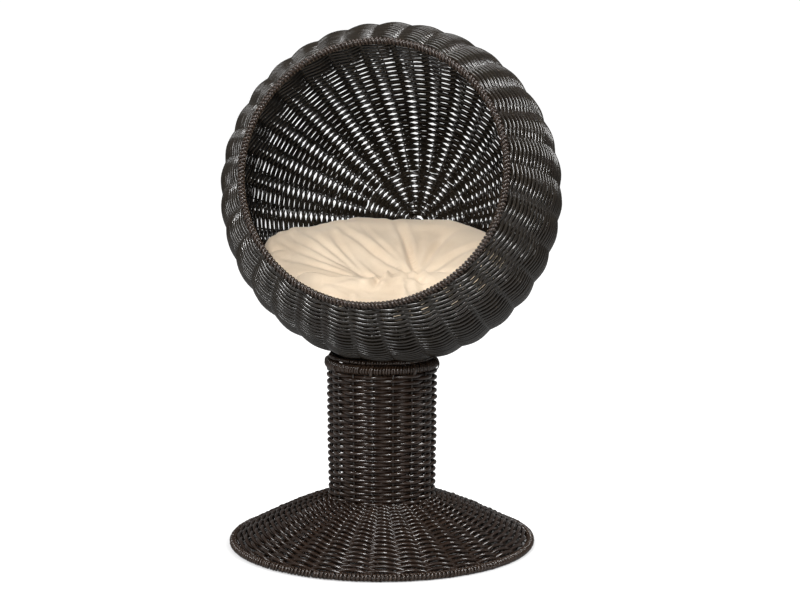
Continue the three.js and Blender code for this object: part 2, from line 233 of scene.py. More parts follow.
class Turned:
    """A place to build round bodies: an origin, an axis, and the direction where angles start."""

    def __init__(self, origin, axis, start):
        self.origin = np.asarray(origin, float)
        self.axis = unit(axis)
        self.first = unit(start - np.dot(start, self.axis) * self.axis)
        self.second = np.cross(self.axis, self.first)

    def outward(self, angle):
        angle = np.asarray(angle)[..., None]
        return np.cos(angle) * self.first + np.sin(angle) * self.second

    def around(self, angle):
        angle = np.asarray(angle)[..., None]
        return np.cos(angle) * self.second - np.sin(angle) * self.first

    def point(self, radius, height, angle):
        radius, height = np.asarray(radius)[..., None], np.asarray(height)[..., None]
        return self.origin + radius * self.outward(angle) + height * self.axis

    def direction(self, out, up, angle):
        out, up = np.asarray(out)[..., None], np.asarray(up)[..., None]
        return out * self.outward(angle) + up * self.axis

    def angle_of(self, place):
        across = np.asarray(place, float) - self.origin
        return math.atan2(across @ self.second, across @ self.first)

    def radius_of(self, nodes):
        across = points_of(*nodes) - self.origin
        across -= (across @ self.axis)[:, None] * self.axis
        return np.linalg.norm(across, axis=1)

    def height_of(self, nodes):
        return (points_of(*nodes) - self.origin) @ self.axis


rib_nodes = sorted(n for n in frame["nodes"] if n.startswith("pod_rib_wire"))
stake_nodes = sorted(n for n in frame["nodes"] if n.startswith("stand_stake_wire"))

mouth_centre = points_of("pod_mouth_hoop").mean(0)
back_centre = points_of("pod_back_ring").mean(0)
rib_points = points_of(*rib_nodes)
# All the ribs lie on one ball, so its centre solves |p|^2 = 2 c.p + k.
solution = np.linalg.lstsq(
    np.c_[2 * rib_points, np.ones(len(rib_points))], (rib_points ** 2).sum(1), rcond=None
)[0]
pod = Turned(solution[:3], mouth_centre - back_centre, np.array([0.0, 0.0, 1.0]))
RIB_RADIUS = np.linalg.norm(rib_points - pod.origin, axis=1).max() - WIRE_RADIUS
RIB_HALF = TURN / POD_RIBS / 2
pair_angle = pod.angle_of(points_of(rib_nodes[0]).mean(0))
rib_angle = pair_angle - RIB_HALF

column_hoop = centre_of("column_top_hoop")
stand = Turned([column_hoop[0], column_hoop[1], 0], [0, 0, 1], np.array([1.0, 0.0, 0.0]))
stake_angle = stand.angle_of(points_of(stake_nodes[0]).mean(0))


# ---- tubes ----

NEXT_STRAND = 0.37                       # how far along the grain each strand starts from the last


class Tubes:
    """Gathers round or oval tubes along paths, and makes one mesh of them. Each face corner keeps
    its place on a straightened strand in the attribute "strand", for the material's grain."""

    def __init__(self, sides=STRAND_SIDES):
        self.sides = sides
        self.points, self.corners, self.sizes, self.grain = [], [], [], []
        self.count = 0
        self.strands = 0

    def add(self, path, facing, width, thickness, closed=False):
        """path and facing are point and direction rows; width lies across facing, thickness
        along it, both as half sizes."""
        n, sides = len(path), self.sides
        if closed:
            along = np.roll(path, -1, 0) - np.roll(path, 1, 0)
        else:
            along = np.gradient(path, axis=0)
        along = unit(along)
        side = unit(np.cross(along, facing))
        out = np.cross(side, along)
        turn = TURN * np.arange(sides) / sides
        width = np.broadcast_to(width, n)[:, None, None]
        thickness = np.broadcast_to(thickness, n)[:, None, None]
        ring = (
            path[:, None, :]
            + out[:, None, :] * thickness * np.cos(turn)[None, :, None]
            + side[:, None, :] * width * np.sin(turn)[None, :, None]
        )
        self.points.append(ring.reshape(-1, 3))

        spans = n if closed else n - 1
        i = np.arange(spans)[:, None]
        j = np.arange(sides)[None, :]
        i1, j1 = (i + 1) % n, (j + 1) % sides
        quads = np.stack(
            [i * sides + j, i * sides + j1, i1 * sides + j1, i1 * sides + j], -1
        ).reshape(-1, 4) + self.count
        self.corners.append(quads.ravel())
        self.sizes.append(np.full(len(quads), 4))

        step = np.linalg.norm(np.roll(path, -1, 0) - path, axis=1)
        travel = np.concatenate([[0], np.cumsum(step)])
        start = NEXT_STRAND * self.strands
        radius = float(np.mean(thickness))

        def at(point, corner):
            across = radius * np.cos(turn)[corner], radius * np.sin(turn)[corner]
            return np.stack(np.broadcast_arrays(*across, start + travel[point]), -1)

        grain = np.stack([at(i, j), at(i, j1), at(i + 1, j1), at(i + 1, j)], 2)
        self.grain.append(grain.reshape(-1, 3))

        if not closed:
            for end, order in ((0, -1), (n - 1, 1)):
                cap = (end * sides + np.arange(sides))[::order] + self.count
                self.corners.append(cap)
                self.sizes.append(np.array([sides]))
                self.grain.append(np.tile([0, 0, start + travel[end]], (sides, 1)))
        self.count += n * sides
        self.strands += 1

    def build(self, name, keep=None):
        """Makes the object. keep may change the points, such as to hold them off the floor."""
        points = np.concatenate(self.points)
        if keep is not None:
            points = keep(points)
        return mesh_object(
            name, points, np.concatenate(self.corners), np.concatenate(self.sizes),
            np.concatenate(self.grain),
        )


def mesh_object(name, points, corners, sizes, grain):
    mesh = bpy.data.meshes.new(name)
    mesh.vertices.add(len(points))
    mesh.vertices.foreach_set("co", points.astype(np.float32).ravel())
    mesh.loops.add(len(corners))
    mesh.loops.foreach_set("vertex_index", corners.astype(np.int32))
    mesh.polygons.add(len(sizes))
    starts = np.concatenate([[0], np.cumsum(sizes)[:-1]])
    mesh.polygons.foreach_set("loop_start", starts.astype(np.int32))
    mesh.polygons.foreach_set("loop_total", sizes.astype(np.int32))
    attribute = mesh.attributes.new("strand", "FLOAT_VECTOR", "CORNER")
    attribute.data.foreach_set("vector", grain.astype(np.float32).ravel())
    mesh.update(calc_edges=True)
    mesh.polygons.foreach_set("use_smooth", np.ones(len(sizes), bool))
    mesh.validate()
    piece = bpy.data.objects.new(name, mesh)
    bpy.context.scene.collection.objects.link(piece)
    return piece


def smooth(share):
    """Eases 0 to 1, and holds anything outside to the nearer of the two."""
    share = np.clip(share, 0, 1)
    return share * share * (3 - 2 * share)


def wander(count, steps, size):
    """A closed line of random offsets, one for each of count places, eased over steps between."""
    knots = rng.normal(0, size, count)
    ease = smooth(np.arange(steps) / steps)
    return (knots[:, None] * (1 - ease) + np.roll(knots, -1)[:, None] * ease).ravel()


# ---- materials ----

def new_material(name):
    material = bpy.data.materials.new(name)
    material.use_nodes = True
    tree = material.node_tree
    shader = next(n for n in tree.nodes if n.type == "BSDF_PRINCIPLED")
    return material, tree, shader


def node(tree, kind, settings=None, **inputs):
    made = tree.nodes.new(kind)
    for key, value in (settings or {}).items():
        setattr(made, key, value)
    for key, value in inputs.items():
        socket = made.inputs[key.replace("_", " ")]
        if isinstance(value, bpy.types.NodeSocket):
            tree.links.new(value, socket)
        else:
            socket.default_value = value
    return made


def ramp(tree, factor, low, high, start=0.3, end=0.7):
    made = node(tree, "ShaderNodeValToRGB", Fac=factor)
    stops = made.color_ramp.elements
    stops[0].position, stops[0].color = start, (*low, 1)
    stops[1].position, stops[1].color = end, (*high, 1)
    return made.outputs["Color"]


def spread(tree, value, low, high):
    """Maps noise to low to high. Noise seldom leaves 0.25 to 0.75, so that part is what counts."""
    made = node(tree, "ShaderNodeMapRange", Value=value, From_Min=0.25, From_Max=0.75)
    made.inputs["To Min"].default_value = low
    made.inputs["To Max"].default_value = high
    return made.outputs["Result"]


def strand_material(name, dark, light, fleck, roughness):
    """Extruded plastic cane: fine lengthwise grain, slow colour drift, a few paler scuffs."""
    material, tree, shader = new_material(name)
    strand = node(tree, "ShaderNodeAttribute", {"attribute_name": "strand"}).outputs["Vector"]
    place = node(tree, "ShaderNodeTexCoord").outputs["Object"]
    stretched = node(
        tree, "ShaderNodeMapping", Vector=strand, Scale=(1.0, 1.0, 0.03)
    ).outputs["Vector"]
    grain = node(
        tree, "ShaderNodeTexNoise", Vector=stretched, Scale=1600.0, Detail=3.0
    ).outputs["Fac"]
    drift = node(tree, "ShaderNodeTexNoise", Vector=strand, Scale=24.0, Detail=2.0).outputs["Fac"]
    scuff = node(tree, "ShaderNodeTexNoise", Vector=place, Scale=210.0, Detail=2.0).outputs["Fac"]
    base = ramp(tree, drift, dark, light)
    scuffed = node(tree, "ShaderNodeMix", {"data_type": "RGBA"})
    tree.links.new(ramp(tree, scuff, (0, 0, 0), (1, 1, 1), 0.66, 0.78), scuffed.inputs["Factor"])
    tree.links.new(base, scuffed.inputs["A"])
    scuffed.inputs["B"].default_value = (*fleck, 1)
    tree.links.new(scuffed.outputs["Result"], shader.inputs["Base Color"])
    tree.links.new(
        spread(tree, grain, roughness - 0.07, roughness + 0.09), shader.inputs["Roughness"]
    )
    bump = node(tree, "ShaderNodeBump", Strength=0.15, Distance=0.0002, Height=grain)
    tree.links.new(bump.outputs["Normal"], shader.inputs["Normal"])
    return material


def metal_material(name, dark, light, metallic, roughness, scale):
    """Painted or plated steel, with an uneven coat."""
    material, tree, shader = new_material(name)
    place = node(tree, "ShaderNodeTexCoord").outputs["Object"]
    patches = node(tree, "ShaderNodeTexNoise", Vector=place, Scale=scale, Detail=4.0).outputs["Fac"]
    fine = node(
        tree, "ShaderNodeTexNoise", Vector=place, Scale=12 * scale, Detail=2.0
    ).outputs["Fac"]
    tree.links.new(ramp(tree, patches, dark, light), shader.inputs["Base Color"])
    shader.inputs["Metallic"].default_value = metallic
    tree.links.new(
        spread(tree, fine, roughness - 0.08, roughness + 0.1), shader.inputs["Roughness"]
    )
    bump = node(tree, "ShaderNodeBump", Strength=0.25, Distance=0.0002, Height=fine)
    tree.links.new(bump.outputs["Normal"], shader.inputs["Normal"])
    return material


def plush_material(name):
    """Short cream pile: brushed patches, fine fibres and a soft sheen."""
    material, tree, shader = new_material(name)
    place = node(tree, "ShaderNodeTexCoord").outputs["Object"]
    brushed = node(tree, "ShaderNodeTexNoise", Vector=place, Scale=14.0, Detail=5.0).outputs["Fac"]
    fibres = node(tree, "ShaderNodeTexNoise", Vector=place, Scale=900.0, Detail=3.0).outputs["Fac"]
    base = ramp(tree, brushed, (0.74, 0.59, 0.43), (0.82, 0.675, 0.51), 0.35, 0.65)
    speckled = node(tree, "ShaderNodeMix", {"data_type": "RGBA", "blend_type": "MULTIPLY"})
    speckled.inputs["Factor"].default_value = 0.35
    tree.links.new(base, speckled.inputs["A"])
    tree.links.new(
        ramp(tree, fibres, (0.82, 0.80, 0.78), (1, 1, 1)), speckled.inputs["B"]
    )
    tree.links.new(speckled.outputs["Result"], shader.inputs["Base Color"])
    tree.links.new(spread(tree, fibres, 0.86, 0.97), shader.inputs["Roughness"])
    shader.inputs["Sheen Weight"].default_value = 0.35
    shader.inputs["Sheen Roughness"].default_value = 0.5
    shader.inputs["Sheen Tint"].default_value = (1.0, 0.93, 0.84, 1)
    shader.inputs["Specular IOR Level"].default_value = 0.2
    bump = node(tree, "ShaderNodeBump", Strength=0.5, Distance=0.0006, Height=fibres)
    tree.links.new(bump.outputs["Normal"], shader.inputs["Normal"])
    return material


POD_STRAND = strand_material(
    "pod_strand", (0.0082, 0.0060, 0.0040), (0.0178, 0.0134, 0.0088), (0.046, 0.034, 0.023), 0.19
)
STAND_STRAND = strand_material(
    "stand_strand", (0.0108, 0.0056, 0.0033), (0.0225, 0.0123, 0.0076), (0.056, 0.034, 0.021), 0.22
)
BORDER_STRAND = strand_material(
    "border_strand", (0.0160, 0.0088, 0.0052), (0.0330, 0.0195, 0.0125), (0.080, 0.052, 0.034), 0.21
)
PAINTED_WIRE = metal_material(
    "painted_wire", (0.016, 0.013, 0.011), (0.035, 0.029, 0.025), 0.1, 0.45, 60.0
)
ZINC = metal_material("zinc_steel", (0.42, 0.43, 0.44), (0.62, 0.63, 0.65), 1.0, 0.38, 90.0)
PLUSH = plush_material("cushion_fabric")


def finish_piece(piece, material, slot, body, *nodes):
    piece.data.materials.append(material)
    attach(piece, body)
    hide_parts(*nodes)


# ---- weaving ----

def twined_row(
    tubes, turned, radius, height, out, along, stakes, first_stake, spread_half, swing, strand
):
    """One row of twining: two strands that cross between every two stakes, one passing outside
    each stake and the other inside. out and along are (radius, height) directions: away from the
    woven surface, and down its profile."""
    steps = STEPS_PER_BAY
    count = stakes * steps
    angle = first_stake + TURN * np.arange(count) / count
    cross = TURN * np.arange(count) / (2 * steps)
    sag = wander(stakes, steps, TWINE_SAG)
    for side in (0, math.pi):
        press = 1 + wander(stakes, steps, TWINE_PRESS)
        off = swing * press * np.cos(cross + side)
        down = spread_half * np.sin(cross + side) + sag + wander(stakes, steps, TWINE_STRAY)
        path = turned.point(
            radius + off * out[0] + down * along[0],
            height + off * out[1] + down * along[1],
            angle,
        )
        facing = turned.direction(out[0], out[1], angle)
        thick = strand * (1 + wander(stakes, steps, UNEVEN_STRAND))
        tubes.add(path, facing, thick, thick, closed=True)


def column_row(radius, height, side):
    """One strand woven over and under the stakes. side is 0 or pi, and takes turns row by row.
    Gives the path, its facing and the strand's radius along it."""
    steps = STEPS_PER_BAY
    count = STAKES * steps
    angle = stake_angle + TURN * np.arange(count) / count
    press = 1 + wander(STAKES, steps, PLAIN_PRESS)
    swing = press * np.cos(TURN * np.arange(count) / (2 * steps) + side)
    sag = wander(STAKES, steps, PLAIN_SAG) + COLUMN_SLOPE * swing
    path = stand.point(radius + COLUMN_SWING * swing, height + sag, angle)
    thick = COLUMN_STRAND_RADIUS * (1 + wander(STAKES, steps, UNEVEN_STRAND))
    return path, stand.outward(angle), thick


def pod_rows():
    """Polar angles of the pod's rows, from the mouth to the back."""
    polar, rows = POD_FIRST_ROW, []
    while polar < POD_LAST_ROW:
        rows.append(polar)
        share = min((polar - POD_FIRST_ROW) / (POD_PITCH_SETTLES - POD_FIRST_ROW), 1)
        pitch = POD_RIM_PITCH + (POD_PITCH - POD_RIM_PITCH) * share
        closing = max(polar - POD_CLOSES_FROM, 0) / (math.pi - POD_CLOSES_FROM)
        polar += (pitch + (POD_POLE_PITCH - POD_PITCH) * closing) / RIB_RADIUS
    return rows


def pod_row(tubes, rows, k):
    """Twines the pod's row k. Near the back pole it takes the ribs in pairs, then in fours."""
    polar = rows[k]
    before, after = max(k - 1, 0), min(k + 1, len(rows) - 1)
    pitch = RIB_RADIUS * (rows[after] - rows[before])
    pitch /= after - before
    from_axis = RIB_RADIUS * math.sin(polar)
    stakes, first = POD_RIBS, rib_angle
    if from_axis < GROUPED_RIBS_INSIDE and polar > math.pi / 2:
        stakes, first = POD_RIBS // 4, pair_angle + 2 * RIB_HALF
    elif from_axis < PAIRED_RIBS_INSIDE and polar > math.pi / 2:
        stakes, first = POD_RIBS // 2, pair_angle
    near_rim = 1 - min((polar - POD_FIRST_ROW) / (POD_THICK_UNTIL - POD_FIRST_ROW), 1)
    out = (math.sin(polar), math.cos(polar))
    along = (math.cos(polar), -math.sin(polar))
    twined_row(
        tubes, pod, from_axis, RIB_RADIUS * math.cos(polar), out, along, stakes, first,
        TWINE_SPREAD * pitch, SWING, STRAND_RADIUS * (1 + POD_RIM_THICKER * near_rim),
    )


def weave_pod():
    rows = pod_rows()
    bands = np.array_split(np.arange(len(rows)), 3)
    for name, band in zip(("front", "middle", "back"), bands, strict=True):
        tubes = Tubes()
        for k in band:
            pod_row(tubes, rows, k)
        if name == "back":
            coil_at_pole(tubes, RIB_RADIUS * math.sin(rows[-1]) - 2 * STRAND_RADIUS)
        piece = tubes.build(f"pod_weave_{name}")
        finish_piece(piece, POD_STRAND, "pod_strand", "bed", "pod_woven_shell")


def coil_at_pole(tubes, start_radius):
    """The weave's end: one strand wound in to the back pole."""
    turns = start_radius / POLE_COIL_PITCH
    angle = np.linspace(0, TURN * turns, int(POLE_COIL_STEPS * turns))
    radius = np.maximum(start_radius * (1 - angle / angle[-1]), 0.4 * MM)
    height = -np.sqrt((RIB_RADIUS + POLE_COIL_RISE) ** 2 - radius ** 2)
    path = pod.point(radius, height, angle)
    tubes.add(path, pod.direction(0 * angle, 0 * angle - 1, angle), STRAND_RADIUS, STRAND_RADIUS)


def rib_wire(middle):
    """One bent wire: up a meridian, round a tight bend by the back pole, and down the next."""
    bend = RIB_BEND_RADIUS * math.tan(RIB_HALF)
    leg_end = math.pi - math.asin(RIB_BEND_RADIUS / math.cos(RIB_HALF) / RIB_RADIUS)
    leg = np.linspace(RIB_START, leg_end, RIB_LEG_STEPS)
    up = pod.point(
        RIB_RADIUS * np.sin(leg), RIB_RADIUS * np.cos(leg), np.full(leg.shape, middle + RIB_HALF)
    )
    down = pod.point(
        RIB_RADIUS * np.sin(leg), RIB_RADIUS * np.cos(leg), np.full(leg.shape, middle - RIB_HALF)
    )[::-1]
    turn = np.linspace(0, math.pi, RIB_BEND_STEPS + 2)[1:-1]
    inward = RIB_BEND_RADIUS - bend * np.sin(turn)
    across = bend * np.cos(turn)
    radius, angle = np.hypot(inward, across), middle + np.arctan2(across, inward)
    bent = pod.point(radius, -np.sqrt(RIB_RADIUS ** 2 - radius ** 2), angle)
    path = np.concatenate([up, bent, down])
    tubes = Tubes(WIRE_SIDES)
    tubes.add(path, unit(path - pod.origin), WIRE_RADIUS, WIRE_RADIUS)
    return tubes


def make_ribs():
    for i, name in enumerate(rib_nodes):
        piece = rib_wire(pair_angle + 4 * RIB_HALF * i).build(name.replace("_wire", ""))
        finish_piece(piece, PAINTED_WIRE, "painted_wire", "bed", name)


# ---- weaving the stand ----

column_radii = stand.radius_of(["column_woven_sleeve"])
column_heights = stand.height_of(["column_woven_sleeve"])
COLUMN_TOP_Z, COLUMN_FOOT_Z = column_heights.max(), column_heights.min()
# From the middle of the weave to the CAD sleeve's outside.
COLUMN_SKIN = COLUMN_SWING + COLUMN_STRAND_RADIUS - COLUMN_PAST_SKIN
COLUMN_TOP_RADIUS = column_radii[column_heights > COLUMN_TOP_Z - MM].max() - COLUMN_SKIN
COLUMN_FOOT_RADIUS = column_radii[column_heights < COLUMN_FOOT_Z + MM].max() - COLUMN_SKIN

FOOT_EDGE = stand.radius_of(["foot_rim_whipping"]).max()
cone_radii = stand.radius_of(["foot_woven_cone"])
cone_heights = stand.height_of(["foot_woven_cone"])
CONE_EDGE_RADIUS = cone_radii.max()
CONE_TOP_RADIUS = cone_radii.min()
CONE_TOP_Z = cone_heights.max()
CONE_EDGE_Z = cone_heights[cone_radii > CONE_EDGE_RADIUS - MM].max()


def column_radius(z):
    share = (z - COLUMN_FOOT_Z) / (COLUMN_TOP_Z - COLUMN_FOOT_Z)
    return COLUMN_FOOT_RADIUS + (COLUMN_TOP_RADIUS - COLUMN_FOOT_RADIUS) * share


def cone_height(radius):
    """The cone's outside."""
    share = (radius - CONE_TOP_RADIUS) / (CONE_EDGE_RADIUS - CONE_TOP_RADIUS)
    return CONE_TOP_Z + (CONE_EDGE_Z - CONE_TOP_Z) * share + FOOT_BULGE * 4 * share * (1 - share)


def weave_column():
    tubes = Tubes()
    low, high = COLUMN_FOOT_Z - 4 * MM, COLUMN_TOP_Z - 2 * MM
    for k, z in enumerate(np.arange(high, low, -COLUMN_PITCH)):
        path, facing, thick = column_row(column_radius(z), z, math.pi * (k % 2))
        tubes.add(path, facing, COLUMN_FLATNESS * thick, thick, closed=True)
    piece = tubes.build("column_weave")
    finish_piece(piece, STAND_STRAND, "stand_strand", "bed", "column_woven_sleeve")


def weave_foot():
    tubes = Tubes()
    low, high = CONE_TOP_RADIUS - 2 * MM, CONE_EDGE_RADIUS - 3 * MM
    rows = np.linspace(low, high, round((high - low) * FOOT_SLANT / FOOT_PITCH) + 1)
    for radius in rows:
        slope = (cone_height(radius + MM) - cone_height(radius - MM)) / (2 * MM)
        along = unit([1, slope])
        out = np.array([-along[1], along[0]])
        middle_radius = radius - FOOT_DEPTH * out[0]
        middle_height = cone_height(radius) - FOOT_DEPTH * out[1]
        twined_row(
            tubes, stand, middle_radius, middle_height, out, along, STAKES * 2, stake_angle,
            TWINE_SPREAD * FOOT_PITCH, FOOT_SWING, FOOT_STRAND_RADIUS,
        )
    piece = tubes.build("foot_weave")
    finish_piece(piece, STAND_STRAND, "stand_strand", "bed", "foot_woven_cone")


def stake_path(angle):
    """Down inside the column, round a bend, and out under the cone."""
    column_z = np.linspace(COLUMN_TOP_Z + 4 * MM, CONE_TOP_Z + 10 * MM, 24)
    cone_r = np.linspace(CONE_TOP_RADIUS + 16 * MM, CONE_EDGE_RADIUS - 1 * MM, 24)
    start = np.array([column_radius(column_z[-1]), column_z[-1]])
    end = np.array([cone_r[0], cone_height(cone_r[0]) - FOOT_DEPTH])
    corner = np.array([start[0], end[1] + 4 * MM])
    t = np.linspace(0, 1, 10)[1:-1, None]
    bend = (1 - t) ** 2 * start + 2 * t * (1 - t) * corner + t ** 2 * end
    radius = np.concatenate([column_radius(column_z), bend[:, 0], cone_r])
    height = np.concatenate([column_z, bend[:, 1], cone_height(cone_r) - FOOT_DEPTH])
    return stand.point(radius, height, np.full(radius.shape, angle))


def make_stakes():
    for i, name in enumerate(stake_nodes):
        angle = stake_angle + TURN * i / STAKES
        path = stake_path(angle)
        tubes = Tubes(WIRE_SIDES)
        tubes.add(path, np.tile(stand.around(angle), (len(path), 1)), WIRE_RADIUS, WIRE_RADIUS)
        piece = tubes.build(name.replace("_wire", ""))
        finish_piece(piece, PAINTED_WIRE, "painted_wire", "bed", name)


# ---- whipped rims ----

def hoop_place(turned, node_name):
    """The radius and the height of a CAD hoop's middle line."""
    return np.mean(turned.radius_of([node_name])), np.mean(turned.height_of([node_name]))


def whip(tubes, turned, radius, height, wrap, start=0.0):
    """Winds a strand round the hoop of this radius and height. wrap is one of the whippings'
    sizes, such as RIM_WRAP, and start is where round the hoop it begins."""
    inner, width, thickness, pitch, lean = wrap
    turns = round(TURN * radius / pitch)
    steps = WRAP_STEPS
    count = turns * steps
    around = TURN * np.arange(count) / count + start
    wound = TURN * np.arange(count) / steps
    off = inner + thickness + wander(turns, steps, WRAP_LIFT)
    at = around + (lean * np.cos(wound) + wander(turns, steps, WRAP_STRAY)) / radius
    path = turned.point(radius + off * np.cos(wound), height + off * np.sin(wound), at)
    facing = turned.direction(np.cos(wound), np.sin(wound), at)
    tubes.add(path, facing, width, thickness, closed=True)


def off_floor(points):
    points[:, 2] = np.maximum(points[:, 2], FLOOR_CLEARANCE)
    return points


def make_whippings():
    tubes = Tubes()
    whip(tubes, pod, *hoop_place(pod, "pod_mouth_hoop"), MOUTH_WRAP)
    piece = tubes.build("pod_mouth_wrap")
    finish_piece(piece, BORDER_STRAND, "stand_strand", "bed", "pod_mouth_whipping")

    radius, height = hoop_place(stand, "foot_rim_hoop")
    tubes = Tubes()
    whip(tubes, stand, radius, height + RIM_WRAP_RISE, RIM_WRAP)
    piece = tubes.build("foot_rim_wrap", off_floor)
    finish_piece(piece, BORDER_STRAND, "stand_strand", "bed", "foot_rim_whipping")

    radius, height = hoop_place(stand, "column_top_hoop")
    tubes = Tubes()
    whip(tubes, stand, radius, height, TOP_WRAP)
    whip(tubes, stand, radius, height, TOP_OVERWRAP, OVERWRAP_START)
    whip(tubes, stand, radius - TOP_BEAD_INWARD, height + TOP_BEAD_RISE, TOP_BEAD)
    for i in range(0, STAKES, 2):
        tie_loop(tubes, radius, height, stake_angle + TURN * i / STAKES)
    piece = tubes.build("column_top_wrap")
    finish_piece(piece, BORDER_STRAND, "stand_strand", "bed", "column_top_whipping")


def tie_loop(tubes, ring_radius, ring_height, angle):
    """A strand that ties the column's top ring down: over its outside, and tucked in below."""
    reach = LOOP_REACH + abs(rng.normal(0, 0.2 * MM))
    drop = rng.uniform(*LOOP_DROP)
    lean = rng.normal(0, 1.6 * MM)
    over = np.radians(np.linspace(75, -5, 14))
    radius = ring_radius + reach * np.cos(over)
    height = ring_height + reach * np.sin(over)
    below = np.linspace(0, 1, 9)[1:]
    tucked = column_radius(ring_height - drop) + SWING + STRAND_RADIUS - LOOP_TUCK
    radius = np.concatenate([radius, radius[-1] + (tucked - radius[-1]) * below ** 2])
    height = np.concatenate([height, height[-1] - drop * below])
    at = angle + np.linspace(-1, 1, len(radius)) * lean / ring_radius
    path = stand.point(radius, height, at)
    facing = unit(path - stand.point(ring_radius, ring_height, at))
    facing[-6:] = stand.outward(at)[-6:]
    tubes.add(path, facing, LOOP_WIDTH, LOOP_THICKNESS)


def make_hoops():
    for turned, name, wire in (
        (pod, "pod_mouth_hoop", HOOP_RADIUS),
        (pod, "pod_back_ring", BACK_RING_RADIUS),
        (stand, "column_top_hoop", HOOP_RADIUS),
        (stand, "foot_rim_hoop", HOOP_RADIUS),
        (stand, "column_foot_hoop", HOOP_RADIUS),
    ):
        angle = TURN * np.arange(96) / 96
        path = turned.point(*hoop_place(turned, name), angle)
        tubes = Tubes()
        tubes.add(path, turned.outward(angle), wire, wire, closed=True)
        finish_piece(tubes.build(name + "_round"), PAINTED_WIRE, "painted_wire", "bed", name)


# ---- the cushion's cover and filling ----

lift = next(j for j in frame["joints"] if j["name"] == "cushion_lift")
cushion_axis = unit(lift["axis"])
seat = Turned(pod.origin, cushion_axis, np.array([1.0, 0.0, 0.0]))
seat_axes = np.array([seat.first, seat.second, seat.axis])
cushion_radii = seat.radius_of(["cushion"])
cushion_heights = seat.height_of(["cushion"])
SEAM_HEIGHT = -np.mean(cushion_heights[cushion_radii > 0.99 * cushion_radii.max()])
CUSHION_SIDE_DEPTH = SEAM_HEIGHT + SEAM_HALF_WIDTH       # the top reaches down to here


def points_to_array(mesh):
    flat = np.empty(3 * len(mesh.vertices), np.float32)
    mesh.vertices.foreach_get("co", flat)
    return flat.reshape(-1, 3).astype(float)


def in_seat(points):
    """Right, back and up along the cushion's own axes, from the pod's centre."""
    return (points - seat.origin) @ seat_axes.T


def out_of_seat(local):
    return seat.origin + local @ seat_axes


def baked(piece):
    """The piece's mesh with its modifiers applied."""
    depsgraph = bpy.context.evaluated_depsgraph_get()
    mesh = bpy.data.meshes.new_from_object(piece.evaluated_get(depsgraph))
    piece.modifiers.clear()
    piece.data = mesh
    return mesh


def tuft_press(local):
    """How far the tufts pull the top down."""
    pull = np.zeros(len(local))
    for tuft in TUFTS:
        away = np.linalg.norm(local[:, :2] - tuft, axis=1)
        pull = np.maximum(pull, TUFT_DEPTH * np.exp(-(away / TUFT_SPREAD) ** 2))
    return pull


def front_roll(flat):
    """How far the front of the cover rolls up ahead of the fold across it."""
    across, back = flat.T
    fold_across, fold_back = np.array(FRONT_FOLD).T
    wave = FRONT_FOLD_WAVE * np.sin(across / FRONT_FOLD_WAVE_RADIAN)
    ahead = np.interp(across, fold_across, fold_back) + wave - back
    lip = smooth((ahead + 2 * MM) / (6 * MM))
    ends = np.clip((across - fold_across[0]) / FRONT_FOLD_ENDS, 0, 1)
    ends *= np.clip((fold_across[-1] - across) / FRONT_FOLD_ENDS, 0, 1)
    valley = np.exp(-((ahead + 3.5 * MM) / (4 * MM)) ** 2)
    rise = lip * np.exp(-(np.maximum(ahead, 0) / FRONT_ROLL_LENGTH) ** 2)
    return FRONT_ROLL * (rise - FRONT_VALLEY * valley) * np.sqrt(ends)


def fold_line(tuft, near, far, length):
    """A fold's path: it leaves its tuft on one bearing and ends on another."""
    start = np.array(TUFTS[tuft])
    near, far = math.radians(near), math.radians(far)
    middle = start + 0.5 * length * np.array([math.cos(near), math.sin(near)])
    end = start + length * np.array([math.cos(far), math.sin(far)])
    t = np.linspace(0, 1, FOLD_STEPS)[:, None]
    return (1 - t) ** 2 * start + 2 * t * (1 - t) * middle + t ** 2 * end


def fold_depth(flat):
    """How deep the folds cut into the cover: grooves with a raised shoulder on each side."""
    cut = np.zeros(len(flat))
    for tuft, near, far, length, depth, half in FOLDS:
        line = fold_line(tuft, near, far, length)
        away = np.linalg.norm(flat[:, None, :] - line[None, :, :], axis=2)
        nearest = away.argmin(1)
        gap = away.min(1)
        fade = 1 - (nearest / (len(line) - 1)) ** 2
        wide = half * (0.75 + 0.5 * nearest / (len(line) - 1))
        shoulder = np.exp(-((gap - FOLD_SHOULDER_AT * wide) / wide) ** 2)
        cut += depth * fade * (np.exp(-(gap / wide) ** 2) - FOLD_SHOULDER * shoulder)
    return cut


def fill_cushion(piece):
    """Blows the cover out against its tufts, as the filling does."""
    mesh = piece.data
    local = in_seat(points_to_array(mesh))
    top = local[:, 2] > -CUSHION_SIDE_DEPTH
    pinned = piece.vertex_groups.new(name="pinned")
    for tuft in TUFTS:
        near = np.linalg.norm(local[:, :2] - tuft, axis=1) < TUFT_RADIUS
        pinned.add(np.flatnonzero(near & top).tolist(), 1.0, "REPLACE")
    cloth = piece.modifiers.new("fill", "CLOTH")
    settings = cloth.settings
    settings.quality = 5
    settings.mass = 0.3
    settings.tension_stiffness = 14
    settings.compression_stiffness = 14
    settings.shear_stiffness = 6
    settings.bending_stiffness = 0.4
    settings.use_pressure = True
    settings.uniform_pressure_force = 4
    settings.shrink_min = -0.05
    settings.vertex_group_mass = "pinned"
    settings.effector_weights.gravity = 0
    cloth.collision_settings.use_collision = False
    scene = bpy.context.scene
    for step in range(1, CUSHION_FRAMES + 1):
        scene.frame_set(step)
    before = points_to_array(mesh)
    after = points_to_array(baked(piece))
    scene.frame_set(1)
    move = after - before
    size = np.linalg.norm(move, axis=1, keepdims=True)
    return before + move * np.minimum(1, CUSHION_CAP / np.maximum(size, 1e-9))


